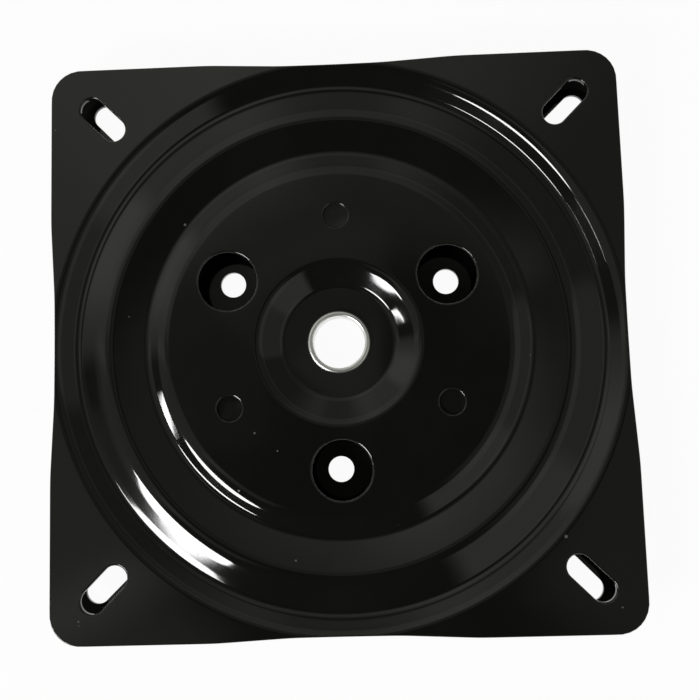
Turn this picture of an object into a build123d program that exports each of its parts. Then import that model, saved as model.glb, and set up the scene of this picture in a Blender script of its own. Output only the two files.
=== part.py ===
from build123d import *
import math
import os

# Swivel seat base: two pressed square plates that turn on a ring of caged balls
# about a hollow centre rivet. Millimetres, +Z up, origin on the turning axis at
# the face that lies on the pedestal. The lower plate is the upper one turned over.

# Square plate
PLATE_SIDE = 200.0
SHEET = 2.0
CORNER_RADIUS = 10.5
EDGE_ROUND = 0.4

# Each side is drawn in where the ring was pressed close to it
SIDE_INSET = 1.3
INSET_FLAT = 36.0
INSET_RUN = 26.0
INSET_BEND_RADIUS = 150.0

# Pressed ring, from the side of the plate inwards; its section is drawn between a side's middle and a corner
SECTION_TURN = 22.5
SHOULDER_MARGIN = 2.0
SHOULDER_BEND = 4.0
OUTER_WALL_RUN = 5.8
VALLEY_BEND = 2.5
VALLEY_GAP = 0.9
LEAD_RUN = 3.2
LEAD_BEND = 40.0
CONE_RUN = 3.8
CONE_EASE = 2.3
KNEE_BEND = 40.0
KNEE_RUN = 5.6
CREST_DROP = 0.4
CREST_BEND = 9.0
RISE_RUN = 13.1
RISE_TILT = 12.0
TROUGH_BEND = 3.0
STEP_RUN = 5.5
STEP_TOP_BEND = 6.0

# Sunk hub round the rivet
HUB_FLOOR_RADIUS = 20.1
HUB_WALL_RUN = 6.8
HUB_FOOT_BEND = 2.5
HUB_TOP_BEND = 14.0

# Fixing slots across the corners
SLOT_LENGTH = 19.0
SLOT_WIDTH = 8.5
SLOT_INSET = 18.4

# Round holes on one circle midway across the disc; the access holes end short of the hub's bend
HOLE_COUNT = 3
FIRST_HOLE_ANGLE = 30.0
ACCESS_HOLE_MARGIN = 2.0
SCREW_HOLE_DIAMETER = 9.0
RIM_ROUND = 0.5

# Half-pierced dimples between the access holes
DIMPLE_DIAMETER = 8.6
DIMPLE_DEPTH = 0.9
DIMPLE_PIP_INSET = 0.4
DIMPLE_RIM_ROUND = 0.4

# Ball race
BALL_COUNT = 24
BALL_DIAMETER = 10.0
BALL_CLEARANCE = 0.2
POCKET_CLEARANCE = 0.15
CAGE_THICKNESS = 2.6
CAGE_RIM = 1.8
CAGE_EDGE_ROUND = 0.5

# Hollow rivet and the washer that it clamps
RIVET_BORE_DIAMETER = 17.9
RIVET_WALL = 0.8
RIVET_LIP_WIDTH = 1.95
RIVET_LIP_THICKNESS = 1.3
RIVET_LIP_ROUND = 0.85
RIVET_LIP_UNDER_ROUND = 0.3
RIVET_RUNNING_CLEARANCE = 0.08
RIVET_LIP_PLAY = 0.1
WASHER_THICKNESS = 0.6
WASHER_PLAY = 0.2
WASHER_BORE_CLEARANCE = 0.3
WASHER_MARGIN = 2.0

# The upper plate stands this far round from the lower one
REST_TURN = 1.0

# Sizes and heights that differ by less than this are the same when rims are picked
SAME = 1e-4

# Height that the balls set
half_height = CREST_DROP + SHEET + BALL_CLEARANCE + BALL_DIAMETER / 2
height = 2 * half_height

# Radii of the pressed ring, and how far its valley and the hub lie below the plate's face
half_side = PLATE_SIDE / 2
shoulder_radius = half_side - SHOULDER_MARGIN
valley_radius = shoulder_radius - OUTER_WALL_RUN
lead_radius = valley_radius - LEAD_RUN
knee_radius = lead_radius - CONE_RUN
race_radius = knee_radius - KNEE_RUN
trough_radius = race_radius - RISE_RUN
step_top_radius = trough_radius - STEP_RUN
hub_top_radius = HUB_FLOOR_RADIUS + HUB_WALL_RUN
valley_drop = half_height - SHEET - VALLEY_GAP / 2
hub_drop = half_height - SHEET - (WASHER_THICKNESS + WASHER_PLAY) / 2

# The crest that the balls run under: the place where its two slopes would meet without their bend
rise_slope = math.radians(RISE_TILT)
cone_slope = math.atan2(valley_drop - CREST_DROP, valley_radius - race_radius) + math.radians(CONE_EASE)
crest_reach = CREST_BEND * math.tan((rise_slope + cone_slope) / 2)
crest_radius = race_radius + crest_reach * math.cos(rise_slope) - CREST_BEND * math.sin(rise_slope)
crest_drop = CREST_DROP - crest_reach * math.sin(rise_slope) + CREST_BEND * (1 - math.cos(rise_slope))
trough_drop = crest_drop + (crest_radius - trough_radius) * math.tan(rise_slope)
knee_drop = crest_drop + (knee_radius - crest_radius) * math.tan(cone_slope)
lead_drop = valley_drop - LEAD_RUN * math.tan(cone_slope)

# Circle of the round holes, and the access holes that the flat disc has room for
hub_slope = math.atan2(hub_drop, HUB_WALL_RUN)
disc_start_radius = hub_top_radius + HUB_TOP_BEND * math.tan(hub_slope / 2)
hole_circle_radius = (hub_top_radius + step_top_radius) / 2
access_hole_radius = hole_circle_radius - disc_start_radius - ACCESS_HOLE_MARGIN

# Rivet sizes that the plates and washer fit round
rivet_bore_radius = RIVET_BORE_DIAMETER / 2
rivet_shank_radius = rivet_bore_radius + RIVET_WALL
rivet_lip_radius = rivet_bore_radius + RIVET_LIP_WIDTH
rivet_hole_radius = rivet_shank_radius + RIVET_RUNNING_CLEARANCE
through = 2 * height


def pressed_sheet():
    """The round relief of the pressing, face up at z = 0, wider than the plate."""
    rim = (PLATE_SIDE, 0)
    bends = [
        ((HUB_FLOOR_RADIUS, -hub_drop), HUB_FOOT_BEND),
        ((hub_top_radius, 0), HUB_TOP_BEND),
        ((step_top_radius, 0), STEP_TOP_BEND),
        ((trough_radius, -trough_drop), TROUGH_BEND),
        ((crest_radius, -crest_drop), CREST_BEND),
        ((knee_radius, -knee_drop), KNEE_BEND),
        ((lead_radius, -lead_drop), LEAD_BEND),
        ((valley_radius, -valley_drop), VALLEY_BEND),
        ((shoulder_radius, 0), SHOULDER_BEND),
    ]
    points = [(rivet_hole_radius, -hub_drop)] + [point for point, _ in bends] + [rim]
    face_line = FilletPolyline(*points, radius=[bend for _, bend in bends])
    section = make_face(offset(face_line, amount=SHEET, side=Side.RIGHT, closed=True))
    return Rot(0, 0, SECTION_TURN) * revolve(Plane.XZ * section, axis=Axis.Z)


def outline():
    """Plan of the plate: round corners, and sides drawn in at their middles."""
    inner = INSET_FLAT / 2
    outer = inner + INSET_RUN
    drawn = half_side - SIDE_INSET
    side = [
        (half_side, half_side, CORNER_RADIUS),
        (outer, half_side, INSET_BEND_RADIUS),
        (inner, drawn, INSET_BEND_RADIUS),
        (-inner, drawn, INSET_BEND_RADIUS),
        (-outer, half_side, INSET_BEND_RADIUS),
    ]
    corners = []
    for turn in range(4):
        corners += [(Vector(x, y).rotate(Axis.Z, 90 * turn), bend) for x, y, bend in side]
    points = [point for point, _ in corners]
    return make_face(FilletPolyline(*points, radius=[bend for _, bend in corners], close=True))


def hole_places(first_angle):
    """The places of one set of holes round the hole circle."""
    return PolarLocations(hole_circle_radius, HOLE_COUNT, start_angle=first_angle)


def pierced(plate, radius, first_angle):
    """The plate with one set of holes punched through it."""
    return plate - [place * Cylinder(radius, through) for place in hole_places(first_angle)]


def upper_rims(plate, radius):
    """The rims on the plate's face of all round holes and slot ends of one radius."""
    rims = plate.edges().filter_by(GeomType.CIRCLE)
    return rims.filter_by(lambda edge: abs(edge.radius - radius) < SAME and abs(edge.center().Z) < SAME)


def pressing():
    """A plate as it leaves the press, face up at z = 0, with its corner slots but no other holes."""
    plate = pressed_sheet() & extrude(outline(), amount=through, both=True)
    walls = plate.faces().filter_by(lambda face: abs(face.normal_at().Z) < SAME)
    sides = walls.filter_by(lambda face: face.center().length > rivet_hole_radius)
    side_rims = sides.edges().filter_by(lambda edge: (edge @ 0.5).Z > -SHEET / 2 + EDGE_ROUND / 8)
    plate = fillet(side_rims, EDGE_ROUND)
    slot_radius = math.sqrt(2) * (half_side - SLOT_INSET)
    slot = SlotOverall(SLOT_LENGTH, SLOT_WIDTH)
    slots = Sketch() + [place * slot for place in PolarLocations(slot_radius, 4, start_angle=45)]
    plate -= extrude(slots, amount=through, both=True)
    return fillet(upper_rims(plate, SLOT_WIDTH / 2), EDGE_ROUND)


def top_plate(blank):
    """Seat side: access holes for the screws below, and half-pierced dimples between them."""
    plate = pierced(blank, access_hole_radius, FIRST_HOLE_ANGLE)
    plate = fillet(upper_rims(plate, access_hole_radius), RIM_ROUND)
    dimple_radius = DIMPLE_DIAMETER / 2
    dimple = Cylinder(dimple_radius, 2 * DIMPLE_DEPTH)
    pip = Pos(0, 0, -SHEET) * Cylinder(dimple_radius - DIMPLE_PIP_INSET, 2 * DIMPLE_DEPTH)
    places = hole_places(FIRST_HOLE_ANGLE + 180 / HOLE_COUNT)
    plate += [place * pip for place in places]
    plate -= [place * dimple for place in places]
    plate = fillet(upper_rims(plate, dimple_radius), DIMPLE_RIM_ROUND)
    return Pos(0, 0, height) * Rot(0, 0, REST_TURN) * plate


def bottom_plate(blank):
    """Pedestal side: the same pressing turned over, with a screw hole under each access hole."""
    plate = pierced(blank, SCREW_HOLE_DIAMETER / 2, -FIRST_HOLE_ANGLE)
    return Rot(180, 0, 0) * plate


def centre_rivet():
    """Hollow rivet with rolled lips: tight under the lower hub, running in the upper one."""
    low = hub_drop - RIVET_LIP_THICKNESS
    lower_seat = hub_drop
    upper_seat = height - hub_drop + RIVET_LIP_PLAY
    top = upper_seat + RIVET_LIP_THICKNESS
    corners = [
        (rivet_bore_radius, low, RIVET_LIP_ROUND),
        (rivet_lip_radius, low, RIVET_LIP_ROUND),
        (rivet_lip_radius, lower_seat, RIVET_LIP_UNDER_ROUND),
        (rivet_shank_radius, lower_seat, 0),
        (rivet_shank_radius, upper_seat, 0),
        (rivet_lip_radius, upper_seat, RIVET_LIP_UNDER_ROUND),
        (rivet_lip_radius, top, RIVET_LIP_ROUND),
        (rivet_bore_radius, top, RIVET_LIP_ROUND),
    ]
    points = [(r, z) for r, z, _ in corners]
    line = FilletPolyline(*points, radius=[bend for _, _, bend in corners], close=True)
    return revolve(Plane.XZ * make_face(line), axis=Axis.Z)


def thrust_washer():
    """Flat washer that lies on the lower hub and keeps the two hubs apart."""
    bore = rivet_shank_radius + WASHER_BORE_CLEARANCE
    outer = HUB_FLOOR_RADIUS - WASHER_MARGIN
    ring = Circle(outer) - Circle(bore)
    return Pos(0, 0, hub_drop + SHEET) * extrude(ring, amount=WASHER_THICKNESS)


def ball_places():
    return [Pos(0, 0, half_height) * place for place in PolarLocations(race_radius, BALL_COUNT)]


def ball_cage():
    """Flat moulded ring with a round-walled pocket for each ball."""
    pocket_radius = BALL_DIAMETER / 2 + POCKET_CLEARANCE
    half_width = pocket_radius + CAGE_RIM
    ring = Circle(race_radius + half_width) - Circle(race_radius - half_width)
    cage = Pos(0, 0, half_height) * extrude(ring, amount=CAGE_THICKNESS / 2, both=True)
    cage = fillet(cage.edges().filter_by(GeomType.CIRCLE), CAGE_EDGE_ROUND)
    return cage - [place * Sphere(pocket_radius) for place in ball_places()]


blank = pressing()
pieces = {
    "top_plate": top_plate(blank),
    "bottom_plate": bottom_plate(blank),
    "centre_rivet": centre_rivet(),
    "thrust_washer": thrust_washer(),
    "ball_cage": ball_cage(),
}
for number, place in enumerate(ball_places(), start=1):
    pieces[f"ball_{number:02d}"] = place * Sphere(BALL_DIAMETER / 2)

os.makedirs("parts", exist_ok=True)
for name, piece in pieces.items():
    export_step(piece, f"parts/{name}.step")
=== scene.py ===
import math

import bmesh
import bpy
import numpy as np
from mathutils import Matrix, Vector


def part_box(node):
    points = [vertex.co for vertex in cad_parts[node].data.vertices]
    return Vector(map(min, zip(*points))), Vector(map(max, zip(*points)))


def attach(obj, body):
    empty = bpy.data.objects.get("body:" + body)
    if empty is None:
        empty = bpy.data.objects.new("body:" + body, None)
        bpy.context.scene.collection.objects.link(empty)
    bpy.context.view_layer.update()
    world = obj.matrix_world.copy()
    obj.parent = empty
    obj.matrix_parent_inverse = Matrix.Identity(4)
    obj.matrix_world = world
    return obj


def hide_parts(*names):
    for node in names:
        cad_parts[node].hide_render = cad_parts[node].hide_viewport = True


# Swivel seat base: two gloss black pressings on a ball ring, held by a hollow rivet.
# The balls, their cage and the washer stay as the frame has them. The two pressings
# and the rivet are modelled again here, with clean bends for the gloss to run over.
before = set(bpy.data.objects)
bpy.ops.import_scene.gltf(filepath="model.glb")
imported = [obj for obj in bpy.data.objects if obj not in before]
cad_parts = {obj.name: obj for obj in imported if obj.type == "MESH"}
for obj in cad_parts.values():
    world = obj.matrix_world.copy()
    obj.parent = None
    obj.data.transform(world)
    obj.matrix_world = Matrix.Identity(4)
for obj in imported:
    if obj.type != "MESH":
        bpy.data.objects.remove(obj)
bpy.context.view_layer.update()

MM = 0.001
MERGE = 2e-6

# Square plate, in mm
PLATE_SIDE = 200.0
SHEET = 2.0
CORNER_RADIUS = 10.5
EDGE_ROUND = 0.4
SIDE_INSET = 1.3
INSET_FLAT = 36.0
INSET_RUN = 26.0
INSET_BEND = 150.0

# Pressed ring, from the shoulder inwards, and sunk hub
SHOULDER_RADIUS = 97.6
SHOULDER_BEND = 6.0
VALLEY_RADIUS = 92.2
VALLEY_BEND = 2.5
VALLEY_GAP = 0.9
LEAD_RADIUS = 89.0
LEAD_BEND = 40.0
KNEE_RADIUS = 85.2
KNEE_BEND = 40.0
CONE_EASE = 2.8
RACE_RADIUS = 79.6
CREST_DROP = 0.4
CREST_BEND = 9.0
RISE_TILT = 12.0
TROUGH_RADIUS = 66.5
TROUGH_BEND = 4.0
STEP_TOP_RADIUS = 61.0
STEP_TOP_BEND = 10.0
HUB_TOP_RADIUS = 27.4
HUB_TOP_BEND = 6.5
HUB_KNEE_RADIUS = 23.5
HUB_KNEE_BEND = 50.0
HUB_WALL_TILT = 36.2
HUB_FLOOR_RADIUS = 20.1
HUB_FLOOR_BEND = 4.0
HUB_GAP = 0.8
RIVET_HOLE_RADIUS = 9.83

# Slots, holes and dimples
SLOT_LENGTH = 19.0
SLOT_WIDTH = 8.5
SLOT_PLACE = 81.6
HOLE_CIRCLE = 43.95
FIRST_HOLE = 30.0
ACCESS_HOLE = 20.62
ACCESS_RIM = 0.7
SCREW_HOLE = 9.0
SCREW_RIM = 0.2
DIMPLE = 8.6
DIMPLE_DEPTH = 0.9
DIMPLE_DISH = 0.1
DIMPLE_PIP_INSET = 0.4
DIMPLE_RIM = 0.65
SLOT_RIM = 0.7
REST_TURN = 1.0

# Hollow rivet
RIVET_BORE = 8.95
RIVET_SHANK = 9.75
RIVET_LIP = 10.9
RIVET_LIP_THICKNESS = 1.3
RIVET_LIP_ROUND = 0.85
RIVET_LIP_UNDER = 0.3
RIVET_PLAY = 0.1

# How finely the bends and the ring are divided
FACE_TURN = math.radians(4)
UNDER_TURN = math.radians(9)
EDGE_TURN = math.radians(25)
OUTLINE_TURN = math.radians(1)
OUTLINE_STEP = 0.5
PLATE_STEPS = 384
RIVET_STEPS = 128
RIM_STEPS = 4
RIM_TURN = math.radians(80)
DISH_STEPS = 4
RIVET_TURN = math.radians(12)
HOLE_SIDES = 96
SMALL_HOLE_SIDES = 64
SLOT_SIDES = 50
PIP_SIDES = 48
SMOOTH_BELOW = math.radians(40)

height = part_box("top_plate")[1].z / MM
half_side = PLATE_SIDE / 2
valley_drop = height / 2 - SHEET - VALLEY_GAP / 2
hub_drop = height / 2 - SHEET - HUB_GAP / 2
rise_slope = math.radians(RISE_TILT)
cone_slope = math.atan2(valley_drop - CREST_DROP, VALLEY_RADIUS - RACE_RADIUS) + math.radians(CONE_EASE)
crest_reach = CREST_BEND * math.tan((rise_slope + cone_slope) / 2)
crest_radius = RACE_RADIUS + crest_reach * math.cos(rise_slope) - CREST_BEND * math.sin(rise_slope)
crest_drop = CREST_DROP - crest_reach * math.sin(rise_slope) + CREST_BEND * (1 - math.cos(rise_slope))
trough_drop = crest_drop + (crest_radius - TROUGH_RADIUS) * math.tan(rise_slope)
knee_drop = crest_drop + (KNEE_RADIUS - crest_radius) * math.tan(cone_slope)
lead_drop = valley_drop - (VALLEY_RADIUS - LEAD_RADIUS) * math.tan(cone_slope)
shoulder_turn = math.atan2(valley_drop, SHOULDER_RADIUS - VALLEY_RADIUS)
ear_radius = SHOULDER_RADIUS + SHOULDER_BEND * math.tan(shoulder_turn / 2)
rim_radius = math.sqrt(2) * half_side
hub_knee_drop = hub_drop - (HUB_KNEE_RADIUS - HUB_FLOOR_RADIUS) * math.tan(math.radians(HUB_WALL_TILT))

FACE_LINE = [
    (RIVET_HOLE_RADIUS, -hub_drop, 0),
    (HUB_FLOOR_RADIUS, -hub_drop, HUB_FLOOR_BEND),
    (HUB_KNEE_RADIUS, -hub_knee_drop, HUB_KNEE_BEND),
    (HUB_TOP_RADIUS, 0, HUB_TOP_BEND),
    (STEP_TOP_RADIUS, 0, STEP_TOP_BEND),
    (TROUGH_RADIUS, -trough_drop, TROUGH_BEND),
    (crest_radius, -crest_drop, CREST_BEND),
    (KNEE_RADIUS, -knee_drop, KNEE_BEND),
    (LEAD_RADIUS, -lead_drop, LEAD_BEND),
    (VALLEY_RADIUS, -valley_drop, VALLEY_BEND),
    (SHOULDER_RADIUS, 0, SHOULDER_BEND),
    (rim_radius, 0, 0),
]


def bent_line(corners, offset, turn_step, closed=False):
    """Points along corners of (across, up, bend radius), rounded, and set off to the right of the line."""
    places = [Vector(corner[:2]) for corner in corners]
    points = []
    for number, (_, _, radius) in enumerate(corners):
        here = places[number]
        after = places[(number + 1) % len(places)]
        came = (here - places[number - 1]).normalized()
        goes = (after - here).normalized()
        if not closed and number == 0:
            came = goes
        if not closed and number == len(corners) - 1:
            goes = came
        if radius == 0:
            points.append(here + Vector((came.y, -came.x)) * offset)
            continue
        turn = math.atan2(came.cross(goes), came.dot(goes))
        side = math.copysign(1, turn)
        left = Vector((-came.y, came.x))
        centre = here - came * radius * math.tan(abs(turn) / 2) + left * side * radius
        steps = math.ceil(abs(turn) / turn_step)
        for step in range(steps + 1):
            arm = Matrix.Rotation(turn * step / steps, 2) @ left
            points.append(centre - arm * side * (radius + side * offset))
    return points


def outline(inset):
    """Angles and reaches, from the axis, of the plate's outline set in by a distance."""
    inner = INSET_FLAT / 2
    outer = inner + INSET_RUN
    drawn = half_side - SIDE_INSET
    corners = []
    for turn in range(4):
        quarter = Matrix.Rotation(turn * math.pi / 2, 2)
        for x, y, bend in (
            (half_side, half_side, CORNER_RADIUS),
            (outer, half_side, INSET_BEND),
            (inner, drawn, INSET_BEND),
            (-inner, drawn, INSET_BEND),
            (-outer, half_side, INSET_BEND),
        ):
            corners.append((*(quarter @ Vector((x, y))), bend))
    line = bent_line(corners, -inset, OUTLINE_TURN, closed=True)
    angles, reaches = [], []
    for start, end in zip(line, line[1:] + line[:1]):
        parts = math.ceil((end - start).length / OUTLINE_STEP)
        for part in range(parts):
            point = start.lerp(end, part / parts)
            angles.append(math.atan2(point.y, point.x))
            reaches.append(point.length)
    return np.array(angles), np.array(reaches)


def edge_rows():
    """Rows over the rounded edge of the plate: how far in from the side, and how far below the face."""
    steps = math.ceil(math.pi / 2 / EDGE_TURN)
    turns = [step * math.pi / 2 / steps for step in range(steps + 1)]
    return [(EDGE_ROUND * (1 - math.sin(turn)), EDGE_ROUND * (1 - math.cos(turn))) for turn in turns]


def only(piece):
    """Leaves one piece selected and active."""
    bpy.ops.object.select_all(action="DESELECT")
    piece.select_set(True)
    bpy.context.view_layer.objects.active = piece


def named(name):
    piece = bpy.context.object
    piece.name = name
    piece.data.name = name
    return piece


def turned(name, section, steps):
    """A closed section of (radius, height) points, spun about the axis."""
    bpy.ops.object.select_all(action="DESELECT")
    bpy.ops.mesh.primitive_circle_add(vertices=len(section), radius=MM, fill_type="NOTHING")
    ring = named(name)
    for vertex, (radius, level) in zip(ring.data.vertices, section):
        vertex.co = (radius * MM, 0, level * MM)
    bpy.ops.object.mode_set(mode="EDIT")
    bpy.ops.mesh.select_all(action="SELECT")
    bpy.ops.mesh.spin(steps=steps, angle=2 * math.pi, center=(0, 0, 0), axis=(0, 0, 1), use_auto_merge=True)
    close_seams()
    bpy.ops.object.mode_set(mode="OBJECT")
    return ring


def close_seams():
    bpy.ops.mesh.select_all(action="SELECT")
    bpy.ops.mesh.remove_doubles(threshold=MERGE)
    bpy.ops.mesh.delete_loose()
    bpy.ops.mesh.select_all(action="SELECT")
    bpy.ops.mesh.normals_make_consistent(inside=False)


def shoulder_start(depth):
    """Radius at which the shoulder's bend starts, at a depth in the metal."""
    return ear_radius - (SHOULDER_BEND - depth) * math.sin(shoulder_turn)


def shoulder_level(radius, depth):
    """Height of the shoulder's face, or of the metal at a depth under it, at a radius."""
    across = max(0, ear_radius - radius)
    return math.sqrt((SHOULDER_BEND - depth) ** 2 - across**2) - SHOULDER_BEND


def draw_out(plate):
    """Draws the round rim of the pressing out to the square outline with its drawn-in sides."""
    outlines = {row: outline(row) for row, _ in edge_rows()}

    def reach(angle, inset):
        angles, reaches = outlines[inset]
        return float(np.interp(angle, angles, reaches, period=2 * math.pi))

    for vertex in plate.data.vertices:
        x, y, z = vertex.co / MM
        radius = math.hypot(x, y)
        if radius < shoulder_start(0):
            continue
        angle = math.atan2(y, x)
        if radius > (ear_radius + rim_radius) / 2:
            inset = min(outlines, key=lambda row: abs(rim_radius - radius - row))
            across = reach(angle, inset)
            if z > EDGE_ROUND - SHEET:
                level = z + shoulder_level(reach(angle, EDGE_ROUND), 0)
            else:
                level = shoulder_level(across, SHEET)
        else:
            depth = 0 if z > shoulder_level(radius, SHEET / 2) else SHEET
            start = shoulder_start(depth)
            room = reach(angle, EDGE_ROUND if depth == 0 else 0) - start
            across = start + (radius - start) * min(1, room / (ear_radius - start))
            level = shoulder_level(across, depth)
        vertex.co = Vector((across * math.cos(angle), across * math.sin(angle), level)) * MM
    only(plate)
    bpy.ops.object.mode_set(mode="EDIT")
    close_seams()
    bpy.ops.object.mode_set(mode="OBJECT")


def peg(radius, low, high, place):
    """A plain round peg between two heights."""
    bpy.ops.object.select_all(action="DESELECT")
    bpy.ops.mesh.primitive_cylinder_add(
        vertices=PIP_SIDES,
        radius=radius * MM,
        depth=(high - low) * MM,
        location=(place.x * MM, place.y * MM, (low + high) / 2 * MM),
    )
    return bpy.context.object


def punch(radius, low, high, rim, place, sides, dish=0.0):
    """A round cutter, its foot dished, that flares over the face at height 0 by the rim's round."""
    section = []
    for step in range(DISH_STEPS + 1):
        share = step / DISH_STEPS
        section.append((radius * share, low - dish * (1 - share**2)))
    for step in range(RIM_STEPS + 1):
        turn = step / RIM_STEPS * RIM_TURN
        section.append((radius + rim * (1 - math.cos(turn)), rim * (math.sin(turn) - 1)))
    section += [(radius + rim, high), (0, high)]
    cutter = turned("cutter", section, sides)
    move(cutter, place)
    return cutter


def move(piece, step):
    """Moves a piece's mesh; its object stays at the origin."""
    only(piece)
    bpy.ops.object.mode_set(mode="EDIT")
    bpy.ops.mesh.select_all(action="SELECT")
    bpy.ops.transform.translate(value=step * MM)
    bpy.ops.object.mode_set(mode="OBJECT")


def slot_punch(angle):
    """A round cutter pulled out into a slot that points at the axis."""
    along = Vector((math.cos(angle), math.sin(angle), 0))
    middle = along * SLOT_PLACE * math.sqrt(2)
    cutter = punch(SLOT_WIDTH / 2, -2 * SHEET, SHEET, SLOT_RIM, middle, SLOT_SIDES)
    for side in (1, -1):
        bpy.ops.object.mode_set(mode="EDIT")
        bpy.ops.mesh.select_all(action="DESELECT")
        mesh = bmesh.from_edit_mesh(cutter.data)
        for vertex in mesh.verts:
            vertex.select_set((vertex.co / MM - middle).dot(along) * side > 0)
        mesh.select_flush_mode()
        bmesh.update_edit_mesh(cutter.data)
        bpy.ops.transform.translate(value=along * side * (SLOT_LENGTH - SLOT_WIDTH) / 2 * MM)
        bpy.ops.object.mode_set(mode="OBJECT")
    return cutter


def around(first):
    """The three places on the hole circle that start at an angle in degrees."""
    angles = [math.radians(first + 120 * number) for number in range(3)]
    return [Vector((math.cos(angle), math.sin(angle), 0)) * HOLE_CIRCLE for angle in angles]


def shape(piece, cutters, operation):
    """Cuts the cutters out of a piece, or adds them to it."""
    bpy.ops.object.select_all(action="DESELECT")
    for cutter in cutters:
        cutter.select_set(True)
    bpy.context.view_layer.objects.active = cutters[0]
    bpy.ops.object.join()
    tool = bpy.context.object
    only(piece)
    change = piece.modifiers.new("shape", "BOOLEAN")
    change.operation = operation
    change.solver = "EXACT"
    change.object = tool
    bpy.ops.object.modifier_apply(modifier=change.name)
    bpy.data.objects.remove(tool)


def turn_and_lift(piece, axis, turn, lift):
    """Turns and lifts a piece's mesh; its object stays at the origin."""
    only(piece)
    bpy.ops.object.mode_set(mode="EDIT")
    bpy.ops.mesh.select_all(action="SELECT")
    # This operator counts a turn the other way round
    bpy.ops.transform.rotate(value=-turn, orient_axis=axis, center_override=(0, 0, 0))
    bpy.ops.transform.translate(value=(0, 0, lift * MM))
    bpy.ops.object.mode_set(mode="OBJECT")


def smooth(piece):
    """Smooth bends, crisp rims and flats that stay flat."""
    only(piece)
    bpy.ops.object.shade_smooth_by_angle(angle=SMOOTH_BELOW)
    normals = piece.modifiers.new("flats", "WEIGHTED_NORMAL")
    normals.keep_sharp = True
    normals.weight = 50
    bpy.ops.object.modifier_apply(modifier=normals.name)


def copied(piece, name):
    twin = piece.copy()
    twin.data = piece.data.copy()
    bpy.context.scene.collection.objects.link(twin)
    twin.name = twin.data.name = name
    return twin


def pressing(name):
    """A plate as it leaves the press, face up at height 0, with its corner slots."""
    face = bent_line(FACE_LINE, 0, FACE_TURN)[:-1]
    under = bent_line(FACE_LINE, SHEET, UNDER_TURN)[:-1]
    rim = [Vector((rim_radius - inset, -drop)) for inset, drop in edge_rows()]
    foot = Vector((rim_radius, -SHEET))
    plate = turned(name, face + rim + [foot] + under[::-1], PLATE_STEPS)
    draw_out(plate)
    shape(plate, [slot_punch(math.radians(angle)) for angle in (45, 135, 225, 315)], "DIFFERENCE")
    return plate


def upper_plate(blank):
    """Seat side: access holes, and half-pierced dimples with a pip under each."""
    plate = copied(blank, "top_plate_pressing")
    dimples = around(FIRST_HOLE + 60)
    pip = DIMPLE / 2 - DIMPLE_PIP_INSET
    shape(plate, [peg(pip, -SHEET - DIMPLE_DEPTH, -SHEET / 2, at) for at in dimples], "UNION")
    cutters = []
    for at in around(FIRST_HOLE):
        cutters.append(punch(ACCESS_HOLE / 2, -2 * SHEET, SHEET, ACCESS_RIM, at, HOLE_SIDES))
    for at in dimples:
        dimple = punch(DIMPLE / 2, -DIMPLE_DEPTH, SHEET, DIMPLE_RIM, at, SMALL_HOLE_SIDES, DIMPLE_DISH)
        cutters.append(dimple)
    shape(plate, cutters, "DIFFERENCE")
    turn_and_lift(plate, "Z", math.radians(REST_TURN), height)
    return plate


def lower_plate(blank):
    """Pedestal side: the same pressing turned over, with three screw holes."""
    plate = copied(blank, "bottom_plate_pressing")
    cutters = []
    for at in around(-FIRST_HOLE):
        cutters.append(punch(SCREW_HOLE / 2, -2 * SHEET, SHEET, SCREW_RIM, at, SMALL_HOLE_SIDES))
    shape(plate, cutters, "DIFFERENCE")
    turn_and_lift(plate, "X", math.pi, 0)
    return plate


def hollow_rivet():
    low = hub_drop
    high = height - hub_drop + RIVET_PLAY
    corners = [
        (RIVET_BORE, low - RIVET_LIP_THICKNESS, RIVET_LIP_ROUND),
        (RIVET_LIP, low - RIVET_LIP_THICKNESS, RIVET_LIP_ROUND),
        (RIVET_LIP, low, RIVET_LIP_UNDER),
        (RIVET_SHANK, low, 0),
        (RIVET_SHANK, high, 0),
        (RIVET_LIP, high, RIVET_LIP_UNDER),
        (RIVET_LIP, high + RIVET_LIP_THICKNESS, RIVET_LIP_ROUND),
        (RIVET_BORE, high + RIVET_LIP_THICKNESS, RIVET_LIP_ROUND),
    ]
    return turned("centre_rivet_rolled", bent_line(corners, 0, RIVET_TURN, closed=True), RIVET_STEPS)


# Materials: small helpers, then the shared effects, then one finish per slot
def wire(tree, source, target):
    tree.links.new(source, target)


def node(tree, kind, **values):
    """A new node with values set on its sockets."""
    made = tree.nodes.new(kind)
    for label, value in values.items():
        made.inputs[label.title()].default_value = value
    return made


def effect(name, inputs, output):
    """An empty shader node group with float inputs, a place input and one output."""
    tree = bpy.data.node_groups.new(name, "ShaderNodeTree")
    tree.interface.new_socket(name="Place", in_out="INPUT", socket_type="NodeSocketVector")
    for label, value in inputs.items():
        socket = tree.interface.new_socket(name=label, in_out="INPUT", socket_type="NodeSocketFloat")
        socket.default_value = value
    tree.interface.new_socket(name=output, in_out="OUTPUT", socket_type="NodeSocketFloat")
    return tree, tree.nodes.new("NodeGroupInput"), tree.nodes.new("NodeGroupOutput")


def maths(tree, operation, first, second=0):
    made = tree.nodes.new("ShaderNodeMath")
    made.operation = operation
    for socket, value in zip(made.inputs, (first, second)):
        if isinstance(value, (int, float)):
            socket.default_value = value
        else:
            wire(tree, value, socket)
    return made.outputs[0]


def scaled(tree, value, gain, base):
    """A value times a gain, on top of a base."""
    made = maths(tree, "MULTIPLY_ADD", value, gain)
    made.node.inputs[2].default_value = base
    return made


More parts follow.
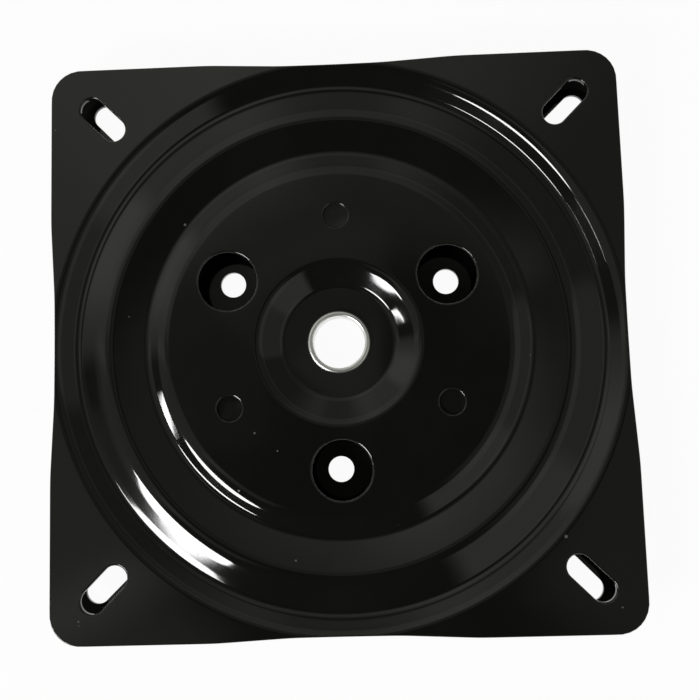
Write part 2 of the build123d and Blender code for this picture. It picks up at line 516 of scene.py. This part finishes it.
def band(tree, value, low, high, bottom=0.0, top=1.0):
    """A smooth ramp of a value from bottom at low to top at high."""
    made = tree.nodes.new("ShaderNodeMapRange")
    made.interpolation_type = "SMOOTHSTEP"
    wire(tree, value, made.inputs["Value"])
    for label, number in (("From Min", low), ("From Max", high), ("To Min", bottom), ("To Max", top)):
        made.inputs[label].default_value = number
    return made.outputs["Result"]


def noise(tree, place_socket, scale, detail=2.0, roughness=0.5):
    made = node(tree, "ShaderNodeTexNoise", scale=scale, detail=detail, roughness=roughness)
    wire(tree, place_socket, made.inputs["Vector"])
    return made.outputs["Fac"]


def ripple_effect():
    """Height of a sprayed or moulded skin: a fine peel over slow waves in the sheet."""
    tree, inside, outside = effect("skin_ripple", {"Peel": 0.3, "Wave": 1.0}, "Height")
    peel = noise(tree, inside.outputs["Place"], scale=900.0)
    wave = noise(tree, inside.outputs["Place"], scale=60.0)
    fine = maths(tree, "MULTIPLY", peel, inside.outputs["Peel"])
    slow = maths(tree, "MULTIPLY", wave, inside.outputs["Wave"])
    wire(tree, maths(tree, "ADD", fine, slow), outside.inputs["Height"])
    return tree


def dust_effect():
    """Scattered specks, each in a cell of its own, most cells empty."""
    tree, inside, outside = effect("dust_specks", {"Amount": 0.1}, "Mask")
    cells = tree.nodes.new("ShaderNodeTexVoronoi")
    cells.inputs["Scale"].default_value = 260.0
    wire(tree, inside.outputs["Place"], cells.inputs["Vector"])
    split = tree.nodes.new("ShaderNodeSeparateColor")
    wire(tree, cells.outputs["Color"], split.inputs["Color"])
    chosen = maths(tree, "LESS_THAN", split.outputs["Red"], inside.outputs["Amount"])
    size = maths(tree, "MULTIPLY", split.outputs["Green"], 0.12)
    spot = maths(tree, "LESS_THAN", cells.outputs["Distance"], size)
    wire(tree, maths(tree, "MULTIPLY", chosen, spot), outside.inputs["Mask"])
    return tree


def hairline_effect():
    """Fine handling marks: thin broken lines that run one way."""
    tree, inside, outside = effect("hairlines", {"Amount": 0.5}, "Mask")
    stretch = tree.nodes.new("ShaderNodeMapping")
    stretch.inputs["Rotation"].default_value = (0, 0, math.radians(62))
    stretch.inputs["Scale"].default_value = (1.0, 0.035, 1.0)
    wire(tree, inside.outputs["Place"], stretch.inputs["Vector"])
    grain = noise(tree, stretch.outputs["Vector"], scale=420.0, detail=3.0, roughness=0.6)
    cloud = noise(tree, inside.outputs["Place"], scale=45.0)
    lines = band(tree, grain, low=0.66, high=0.72)
    breaks = band(tree, cloud, low=0.48, high=0.62)
    broken = maths(tree, "MULTIPLY", lines, breaks)
    wire(tree, maths(tree, "MULTIPLY", broken, inside.outputs["Amount"]), outside.inputs["Mask"])
    return tree


def nick_effect():
    """A chip in a finish: a small round spot at one place."""
    sizes = {"Across": 0.0, "Along": 0.0, "Up": 0.0, "Radius": 0.0003}
    tree, inside, outside = effect("paint_nick", sizes, "Mask")
    centre = tree.nodes.new("ShaderNodeCombineXYZ")
    for label, socket in zip(("Across", "Along", "Up"), centre.inputs):
        wire(tree, inside.outputs[label], socket)
    gap = tree.nodes.new("ShaderNodeVectorMath")
    gap.operation = "DISTANCE"
    wire(tree, inside.outputs["Place"], gap.inputs[0])
    wire(tree, centre.outputs["Vector"], gap.inputs[1])
    spot = maths(tree, "LESS_THAN", gap.outputs["Value"], inside.outputs["Radius"])
    wire(tree, spot, outside.inputs["Mask"])
    return tree


EFFECTS = {
    "ripple": ripple_effect(),
    "dust": dust_effect(),
    "hairlines": hairline_effect(),
    "nick": nick_effect(),
}


def finish_start(name, colour, roughness, metallic=0.0):
    """A new material with its shader and the place of each point on the piece."""
    material = bpy.data.materials.new(name)
    material.use_nodes = True
    tree = material.node_tree
    shader = tree.nodes["Principled BSDF"]
    shader.inputs["Base Color"].default_value = (*colour, 1)
    shader.inputs["Roughness"].default_value = roughness
    shader.inputs["Metallic"].default_value = metallic
    coordinates = tree.nodes.new("ShaderNodeTexCoord")
    return material, tree, shader, coordinates.outputs["Object"]


def placed_effect(tree, key, place_socket, **values):
    made = tree.nodes.new("ShaderNodeGroup")
    made.node_tree = EFFECTS[key]
    wire(tree, place_socket, made.inputs["Place"])
    for label, value in values.items():
        made.inputs[label.title()].default_value = value
    return made.outputs[0]


def blend_colour(tree, mask, first, second):
    made = tree.nodes.new("ShaderNodeMix")
    made.data_type = "RGBA"
    wire(tree, mask, made.inputs["Factor"])
    for socket, colour in zip((made.inputs["A"], made.inputs["B"]), (first, second)):
        if isinstance(colour, tuple):
            socket.default_value = (*colour, 1)
        else:
            wire(tree, colour, socket)
    return made.outputs["Result"]


def shade(colour, gain):
    """A colour made lighter or darker."""
    return tuple(gain * value for value in colour)


def raised(tree, shader, height_socket, distance):
    bump = tree.nodes.new("ShaderNodeBump")
    bump.inputs["Distance"].default_value = distance
    bump.inputs["Strength"].default_value = 1.0
    wire(tree, height_socket, bump.inputs["Height"])
    wire(tree, bump.outputs["Normal"], shader.inputs["Normal"])


BLACK = (0.0048, 0.0047, 0.0043)
DUST = (0.10, 0.095, 0.085)
BRIGHT_PLATING = (0.86, 0.86, 0.85)
DULL_PLATING = (0.66, 0.66, 0.65)
RIVET_DUST = (0.2, 0.19, 0.17)
CLEAN_BALL = (0.75, 0.75, 0.76)
GREASED_BALL = (0.42, 0.39, 0.33)
PAINT_ROUGHNESS = 0.06
PLATING_ROUGHNESS = 0.3
BALL_ROUGHNESS = 0.08
SKIN_HEIGHT = 0.02 * MM
MOULDED_HEIGHT = 0.03 * MM
# Nicks in the upper plate's paint, in mm: across, along, radius
NICKS = [(75.0, -66.5, 0.55), (-29.0, -31.1, 0.35), (-21.2, -37.2, 0.3), (92.6, -89.6, 0.3)]


def black_paint():
    material, tree, shader, here = finish_start("gloss_black_paint", BLACK, PAINT_ROUGHNESS)
    dust = placed_effect(tree, "dust", here, amount=0.05)
    for across, along, radius in NICKS:
        spot = {"across": across * MM, "along": along * MM, "up": height * MM, "radius": radius * MM}
        dust = maths(tree, "MAXIMUM", dust, placed_effect(tree, "nick", here, **spot))
    hair = placed_effect(tree, "hairlines", here, amount=0.35)
    smudge = band(tree, noise(tree, here, scale=38.0, detail=3.0), low=0.45, high=0.75)
    tone = blend_colour(tree, smudge, BLACK, shade(BLACK, 1.2))
    wire(tree, blend_colour(tree, dust, tone, DUST), shader.inputs["Base Color"])
    rough = scaled(tree, smudge, 0.03, PAINT_ROUGHNESS)
    rough = maths(tree, "ADD", rough, maths(tree, "MULTIPLY", hair, 0.12))
    rough = maths(tree, "ADD", rough, maths(tree, "MULTIPLY", dust, 0.4))
    wire(tree, rough, shader.inputs["Roughness"])
    raised(tree, shader, placed_effect(tree, "ripple", here, peel=0.05, wave=1.0), SKIN_HEIGHT)
    return material


def plated_steel():
    start = finish_start("plated_rivet_steel", BRIGHT_PLATING, PLATING_ROUGHNESS, metallic=1.0)
    material, tree, shader, here = start
    dull = band(tree, noise(tree, here, scale=210.0, detail=4.0, roughness=0.6), low=0.4, high=0.7)
    tone = blend_colour(tree, dull, BRIGHT_PLATING, DULL_PLATING)
    dust = placed_effect(tree, "dust", here, amount=0.12)
    wire(tree, blend_colour(tree, dust, tone, RIVET_DUST), shader.inputs["Base Color"])
    hair = placed_effect(tree, "hairlines", here, amount=1.0)
    rough = scaled(tree, dull, 0.14, PLATING_ROUGHNESS)
    rough = maths(tree, "ADD", rough, maths(tree, "MULTIPLY", hair, 0.15))
    wire(tree, rough, shader.inputs["Roughness"])
    raised(tree, shader, placed_effect(tree, "ripple", here, peel=1.0, wave=1.0), SKIN_HEIGHT)
    return material


def ball_steel():
    material, tree, shader, here = finish_start("ball_steel", CLEAN_BALL, BALL_ROUGHNESS, metallic=1.0)
    greased = band(tree, noise(tree, here, scale=160.0, detail=3.0), low=0.45, high=0.65)
    wire(tree, blend_colour(tree, greased, CLEAN_BALL, GREASED_BALL), shader.inputs["Base Color"])
    wire(tree, scaled(tree, greased, 0.2, BALL_ROUGHNESS), shader.inputs["Roughness"])
    return material


def nylon(name, colour, roughness):
    material, tree, shader, here = finish_start(name, colour, roughness)
    cloud = noise(tree, here, scale=120.0, detail=3.0)
    tone = blend_colour(tree, cloud, shade(colour, 0.85), shade(colour, 1.1))
    dust = placed_effect(tree, "dust", here, amount=0.1)
    wire(tree, blend_colour(tree, dust, tone, DUST), shader.inputs["Base Color"])
    rough = band(tree, cloud, low=0.3, high=0.7, bottom=roughness - 0.06, top=roughness + 0.08)
    wire(tree, rough, shader.inputs["Roughness"])
    raised(tree, shader, placed_effect(tree, "ripple", here, peel=1.0, wave=0.6), MOULDED_HEIGHT)
    return material


def dress(piece, material):
    piece.data.materials.clear()
    piece.data.materials.append(material)


blank = pressing("plate_blank")
top = upper_plate(blank)
bottom = lower_plate(blank)
bpy.data.objects.remove(blank)
rivet = hollow_rivet()

paint = black_paint()
for piece, body, cad_node, finish, slot_name in (
    (top, "seat_side", "top_plate", paint, "black_paint"),
    (bottom, "base_side", "bottom_plate", paint, "black_paint"),
    (rivet, "base_side", "centre_rivet", plated_steel(), "plated_steel"),
):
    smooth(piece)
    dress(piece, finish)
    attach(piece, body)
    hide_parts(cad_node)

dress(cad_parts["ball_cage"], nylon("cage_nylon", (0.09, 0.09, 0.1), 0.45))
dress(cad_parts["thrust_washer"], nylon("washer_nylon", (0.83, 0.81, 0.74), 0.42))
ball_finish = ball_steel()
for name, cad_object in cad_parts.items():
    if name.startswith("ball_") and name != "ball_cage":
        dress(cad_object, ball_finish)

# Studio: a pale floor that sweeps up all round, soft cards in the world and two window lamps
FLOOR_RADIUS = 2.6
FLOOR_SIDES = 128
SWEEP_STEPS = 8
SWEEP_BEND = 0.4
SWEEP_TOP = 0.65
FLOOR_WHITE = 0.95
PAPER_TONE = (0.8, 0.8, 0.8, 1)
SKY_TINT = (1.0, 1.0, 0.91)


def studio_floor():
    bpy.ops.object.select_all(action="DESELECT")
    bpy.ops.mesh.primitive_circle_add(vertices=FLOOR_SIDES, radius=FLOOR_RADIUS, fill_type="NGON")
    floor = named("studio_floor")
    bpy.ops.object.mode_set(mode="EDIT")
    bpy.ops.mesh.select_mode(type="EDGE")
    bpy.ops.mesh.select_all(action="SELECT")
    radius = FLOOR_RADIUS
    rows = []
    for step in range(1, SWEEP_STEPS + 1):
        turn = step / SWEEP_STEPS * math.pi / 2
        rows.append((FLOOR_RADIUS + SWEEP_BEND * math.sin(turn), SWEEP_BEND * (1 - math.cos(turn))))
    rows.append((FLOOR_RADIUS + SWEEP_BEND, SWEEP_TOP))
    level = 0.0
    for across, up in rows:
        bpy.ops.mesh.extrude_edges_move(TRANSFORM_OT_translate={"value": (0, 0, up - level)})
        grow = across / radius
        bpy.ops.transform.resize(value=(grow, grow, 1), center_override=(0, 0, up))
        radius, level = across, up
    bpy.ops.object.mode_set(mode="OBJECT")
    bpy.ops.object.shade_smooth()
    material = bpy.data.materials.new("studio_white")
    material.use_nodes = True
    tree = material.node_tree
    tree.nodes.clear()
    paper = node(tree, "ShaderNodeBsdfDiffuse", color=PAPER_TONE)
    glow = node(tree, "ShaderNodeEmission", color=(1, 1, 1, 1), strength=1.0)
    path = tree.nodes.new("ShaderNodeLightPath")
    seen = maths(tree, "MAXIMUM", path.outputs["Is Camera Ray"], path.outputs["Is Glossy Ray"])
    seen = maths(tree, "MAXIMUM", seen, path.outputs["Is Transmission Ray"])
    mix = tree.nodes.new("ShaderNodeMixShader")
    wire(tree, maths(tree, "MULTIPLY", seen, FLOOR_WHITE), mix.inputs["Fac"])
    wire(tree, paper.outputs["BSDF"], mix.inputs[1])
    wire(tree, glow.outputs["Emission"], mix.inputs[2])
    out = tree.nodes.new("ShaderNodeOutputMaterial")
    wire(tree, mix.outputs["Shader"], out.inputs["Surface"])
    dress(floor, material)


def towards(azimuth, zenith):
    """Unit direction from an azimuth and an angle down from straight up, in degrees."""
    turn, lean = math.radians(azimuth), math.radians(zenith)
    return Vector((math.cos(turn) * math.sin(lean), math.sin(turn) * math.sin(lean), math.cos(lean)))


# Soft cards: azimuth from and to and its soft edge, zenith angle from and to and its soft edge, brightness
CARDS = [
    (106, 166, 20, 16, 82, 8, 0.38),
    (140, 177, 8, 32, 80, 12, 0.28),
    (66, 112, 30, 17, 82, 8, 0.22),
    (-62, -24, 8, 28, 74, 6, 0.46),
    (-24, 19, 8, 28, 74, 6, 0.28),
    (-45, 138, 20, 11, 52, 5, 0.14),
    (19, 80, 12, 45, 84, 10, 0.13),
    (172, 214, 10, 13, 62, 6, 0.25),
    (205, 236, 10, 14, 26, 6, 0.2),
    (140, 185, 12, 6.5, 14, 2, 0.06),
    (86, 142, 10, 1.5, 12, 2, 0.1),
    (88, 140, 6, 1.5, 6.3, 1, 0.08),
]
ZENITH_TONE = 0.03
HORIZON_TONE = 0.08
HORIZON_START = math.radians(75)
HORIZON = math.radians(90)


def studio_world():
    world = bpy.data.worlds.new("studio_world")
    bpy.context.scene.world = world
    world.use_nodes = True
    tree = world.node_tree
    tree.nodes.clear()
    coordinates = tree.nodes.new("ShaderNodeTexCoord")
    parts = tree.nodes.new("ShaderNodeSeparateXYZ")
    wire(tree, coordinates.outputs["Generated"], parts.inputs["Vector"])
    zenith = maths(tree, "ARCCOSINE", parts.outputs["Z"])
    total = band(tree, zenith, HORIZON_START, HORIZON, ZENITH_TONE, HORIZON_TONE)
    for card in CARDS:
        total = maths(tree, "ADD", total, soft_card(tree, coordinates.outputs["Generated"], zenith, *card))
    sky = node(tree, "ShaderNodeBackground", color=(*SKY_TINT, 1))
    wire(tree, total, sky.inputs["Strength"])
    out = tree.nodes.new("ShaderNodeOutputWorld")
    wire(tree, sky.outputs["Background"], out.inputs["Surface"])


def soft_card(tree, direction, zenith, left, right, side_edge, top, foot, end_edge, level):
    """Brightness of a soft-edged card between two azimuths and two zenith angles."""
    facing = node(tree, "ShaderNodeVectorRotate", angle=-math.radians((left + right) / 2))
    wire(tree, direction, facing.inputs["Vector"])
    parts = tree.nodes.new("ShaderNodeSeparateXYZ")
    wire(tree, facing.outputs["Vector"], parts.inputs["Vector"])
    turn = maths(tree, "ABSOLUTE", maths(tree, "ARCTAN2", parts.outputs["Y"], parts.outputs["X"]))
    half, side, end = (math.radians(angle) / 2 for angle in (right - left, side_edge, end_edge))
    across = band(tree, turn, half - side, half + side, level, 0)
    upper = band(tree, zenith, math.radians(top) - end, math.radians(top) + end)
    lower = band(tree, zenith, math.radians(foot) - end, math.radians(foot) + end, 1, 0)
    return maths(tree, "MULTIPLY", across, maths(tree, "MULTIPLY", upper, lower))


def lamp(name, azimuth, zenith, distance, wide, high, radiance):
    """A flat lamp that faces the object, with its long side level."""
    light = bpy.data.lights.new(name, "AREA")
    light.shape = "ELLIPSE"
    light.size = wide
    light.size_y = high
    light.energy = radiance * wide * high * math.pi**2 / 4
    holder = bpy.data.objects.new(name, light)
    bpy.context.scene.collection.objects.link(holder)
    at = towards(azimuth, zenith)
    holder.location = at * distance
    holder.rotation_euler = at.to_track_quat("Z", "Y").to_euler()
    holder.visible_camera = False


# The photo's camera: sizes and place in mm, its turn in degrees
SENSOR_WIDTH = 36.0
LENS_LENGTH = 51.43
LENS_SHIFT = (0.0156, -0.0443)
CAMERA_PLACE = (12.5, -32.1, 356.6)
CAMERA_TURN = (6.5984, 2.1308, -0.6681)
NEAREST = 10.0


def photo_camera():
    lens = bpy.data.cameras.new("photo_camera")
    lens.sensor_width = SENSOR_WIDTH
    lens.lens = LENS_LENGTH
    lens.shift_x, lens.shift_y = LENS_SHIFT
    lens.clip_start = NEAREST * MM
    holder = bpy.data.objects.new("photo_camera", lens)
    bpy.context.scene.collection.objects.link(holder)
    holder.location = Vector(CAMERA_PLACE) * MM
    holder.rotation_euler = [math.radians(angle) for angle in CAMERA_TURN]
    bpy.context.scene.camera = holder


studio_floor()
studio_world()
lamp("window_lamp", azimuth=222.5, zenith=56.3, distance=1.2, wide=0.6, high=0.27, radiance=28.0)
lamp("side_window_lamp", azimuth=197, zenith=67.3, distance=2.4, wide=0.6, high=0.04, radiance=40.0)
photo_camera()
bpy.context.scene.view_settings.view_transform = "Standard"

bpy.context.view_layer.update()
